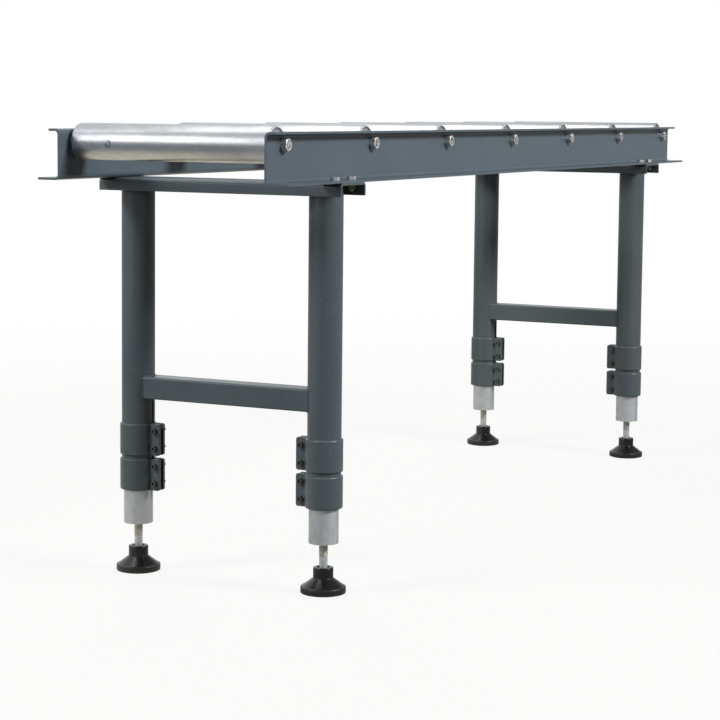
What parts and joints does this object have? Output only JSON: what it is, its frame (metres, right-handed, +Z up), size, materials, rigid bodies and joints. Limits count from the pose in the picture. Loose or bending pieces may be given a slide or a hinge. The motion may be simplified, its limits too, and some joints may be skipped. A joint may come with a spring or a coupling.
{
  "type": "material support stand",
  "caption": "Height-adjustable roller stand: bent-sheet rails carry free-turning steel rollers on telescopic legs with clamp collars and ball-jointed levelling feet.",
  "frame": {"origin": "on the floor, under the middle of the stand, with the feet set as in the picture", "axes": "+X along the rails towards the rear end, +Y to the left side, +Z up"},
  "size_m": [2, 0.46, 0.7755],
  "materials": {
    "rail_paint": "blue-grey powder coat, satin",
    "leg_paint": "dark grey powder coat, satin",
    "galvanised_roller": "galvanised and drawn, bright",
    "galvanised_tube": "galvanised, dull",
    "zinc_plate": "bright zinc plate",
    "bearing_steel": "pressed and ground steel",
    "black_oxide": "black oxide, oiled",
    "foot_plastic": "moulded black plastic"
  },
  "bodies": {
    "frame": {"rail_left": "rail_paint", "rail_right": "rail_paint", "cross_member_front": "leg_paint", "stretcher_front": "leg_paint", "cross_member_rear": "leg_paint", "stretcher_rear": "leg_paint", "outer_tube_front_left": "leg_paint", "tube_clamp_front_left": "leg_paint", "stop_collar_front_left": "leg_paint", "outer_tube_front_right": "leg_paint", "tube_clamp_front_right": "leg_paint", "stop_collar_front_right": "leg_paint", "outer_tube_rear_left": "leg_paint", "tube_clamp_rear_left": "leg_paint", "stop_collar_rear_left": "leg_paint", "outer_tube_rear_right": "leg_paint", "tube_clamp_rear_right": "leg_paint", "stop_collar_rear_right": "leg_paint", "axle_1": "zinc_plate", "axle_2": "zinc_plate", "axle_3": "zinc_plate", "axle_4": "zinc_plate", "axle_5": "zinc_plate", "axle_6": "zinc_plate", "axle_7": "zinc_plate", "axle_nuts": "zinc_plate", "frame_bolts": "zinc_plate", "frame_nuts": "zinc_plate", "clamp_screws": "black_oxide", "clamp_nuts": "black_oxide"},
    "inner_leg_front_left": {"inner_tube_front_left": "galvanised_tube", "tube_plug_front_left": "galvanised_tube"},
    "spindle_front_left": {"spindle_front_left": "zinc_plate"},
    "foot_front_left": {"foot_front_left": "foot_plastic"},
    "inner_leg_front_right": {"inner_tube_front_right": "galvanised_tube", "tube_plug_front_right": "galvanised_tube"},
    "spindle_front_right": {"spindle_front_right": "zinc_plate"},
    "foot_front_right": {"foot_front_right": "foot_plastic"},
    "inner_leg_rear_left": {"inner_tube_rear_left": "galvanised_tube", "tube_plug_rear_left": "galvanised_tube"},
    "spindle_rear_left": {"spindle_rear_left": "zinc_plate"},
    "foot_rear_left": {"foot_rear_left": "foot_plastic"},
    "inner_leg_rear_right": {"inner_tube_rear_right": "galvanised_tube", "tube_plug_rear_right": "galvanised_tube"},
    "spindle_rear_right": {"spindle_rear_right": "zinc_plate"},
    "foot_rear_right": {"foot_rear_right": "foot_plastic"},
    "roller_1": {"roller_1": "galvanised_roller", "bearing_set_1": "bearing_steel"},
    "roller_2": {"roller_2": "galvanised_roller", "bearing_set_2": "bearing_steel"},
    "roller_3": {"roller_3": "galvanised_roller", "bearing_set_3": "bearing_steel"},
    "roller_4": {"roller_4": "galvanised_roller", "bearing_set_4": "bearing_steel"},
    "roller_5": {"roller_5": "galvanised_roller", "bearing_set_5": "bearing_steel"},
    "roller_6": {"roller_6": "galvanised_roller", "bearing_set_6": "bearing_steel"},
    "roller_7": {"roller_7": "galvanised_roller", "bearing_set_7": "bearing_steel"}
  },
  "joints": [
    {"name": "leg_slide_front_left", "type": "slide", "parent": "frame", "child": "inner_leg_front_left", "axis": [0, 0, -1], "range_m": [-0.05, 0.2]},
    {"name": "spindle_screw_front_left", "type": "slide", "parent": "inner_leg_front_left", "child": "spindle_front_left", "axis": [0, 0, -1], "range_m": [-0.037, 0.04]},
    {"name": "foot_tilt_front_left", "type": "hinge", "parent": "spindle_front_left", "child": "foot_front_left", "pos_m": [-0.775, 0.1805, 0.02], "axis": [0, 1, 0], "range_deg": [-8, 8]},
    {"name": "leg_slide_front_right", "type": "slide", "parent": "frame", "child": "inner_leg_front_right", "axis": [0, 0, -1], "range_m": [-0.05, 0.2]},
    {"name": "spindle_screw_front_right", "type": "slide", "parent": "inner_leg_front_right", "child": "spindle_front_right", "axis": [0, 0, -1], "range_m": [-0.037, 0.04]},
    {"name": "foot_tilt_front_right", "type": "hinge", "parent": "spindle_front_right", "child": "foot_front_right", "pos_m": [-0.775, -0.1805, 0.02], "axis": [0, 1, 0], "range_deg": [-8, 8]},
    {"name": "leg_slide_rear_left", "type": "slide", "parent": "frame", "child": "inner_leg_rear_left", "axis": [0, 0, -1], "range_m": [-0.05, 0.2]},
    {"name": "spindle_screw_rear_left", "type": "slide", "parent": "inner_leg_rear_left", "child": "spindle_rear_left", "axis": [0, 0, -1], "range_m": [-0.037, 0.04]},
    {"name": "foot_tilt_rear_left", "type": "hinge", "parent": "spindle_rear_left", "child": "foot_rear_left", "pos_m": [0.775, 0.1805, 0.02], "axis": [0, 1, 0], "range_deg": [-8, 8]},
    {"name": "leg_slide_rear_right", "type": "slide", "parent": "frame", "child": "inner_leg_rear_right", "axis": [0, 0, -1], "range_m": [-0.05, 0.2]},
    {"name": "spindle_screw_rear_right", "type": "slide", "parent": "inner_leg_rear_right", "child": "spindle_rear_right", "axis": [0, 0, -1], "range_m": [-0.037, 0.04]},
    {"name": "foot_tilt_rear_right", "type": "hinge", "parent": "spindle_rear_right", "child": "foot_rear_right", "pos_m": [0.775, -0.1805, 0.02], "axis": [0, 1, 0], "range_deg": [-8, 8]},
    {"name": "roller_spin_1", "type": "hinge", "parent": "frame", "child": "roller_1", "pos_m": [-0.947, 0, 0.7455], "axis": [0, 1, 0], "continuous": true},
    {"name": "roller_spin_2", "type": "hinge", "parent": "frame", "child": "roller_2", "pos_m": [-0.63133, 0, 0.7455], "axis": [0, 1, 0], "continuous": true},
    {"name": "roller_spin_3", "type": "hinge", "parent": "frame", "child": "roller_3", "pos_m": [-0.31567, 0, 0.7455], "axis": [0, 1, 0], "continuous": true},
    {"name": "roller_spin_4", "type": "hinge", "parent": "frame", "child": "roller_4", "pos_m": [0, 0, 0.7455], "axis": [0, 1, 0], "continuous": true},
    {"name": "roller_spin_5", "type": "hinge", "parent": "frame", "child": "roller_5", "pos_m": [0.31567, 0, 0.7455], "axis": [0, 1, 0], "continuous": true},
    {"name": "roller_spin_6", "type": "hinge", "parent": "frame", "child": "roller_6", "pos_m": [0.63133, 0, 0.7455], "axis": [0, 1, 0], "continuous": true},
    {"name": "roller_spin_7", "type": "hinge", "parent": "frame", "child": "roller_7", "pos_m": [0.947, 0, 0.7455], "axis": [0, 1, 0], "continuous": true}
  ]
}
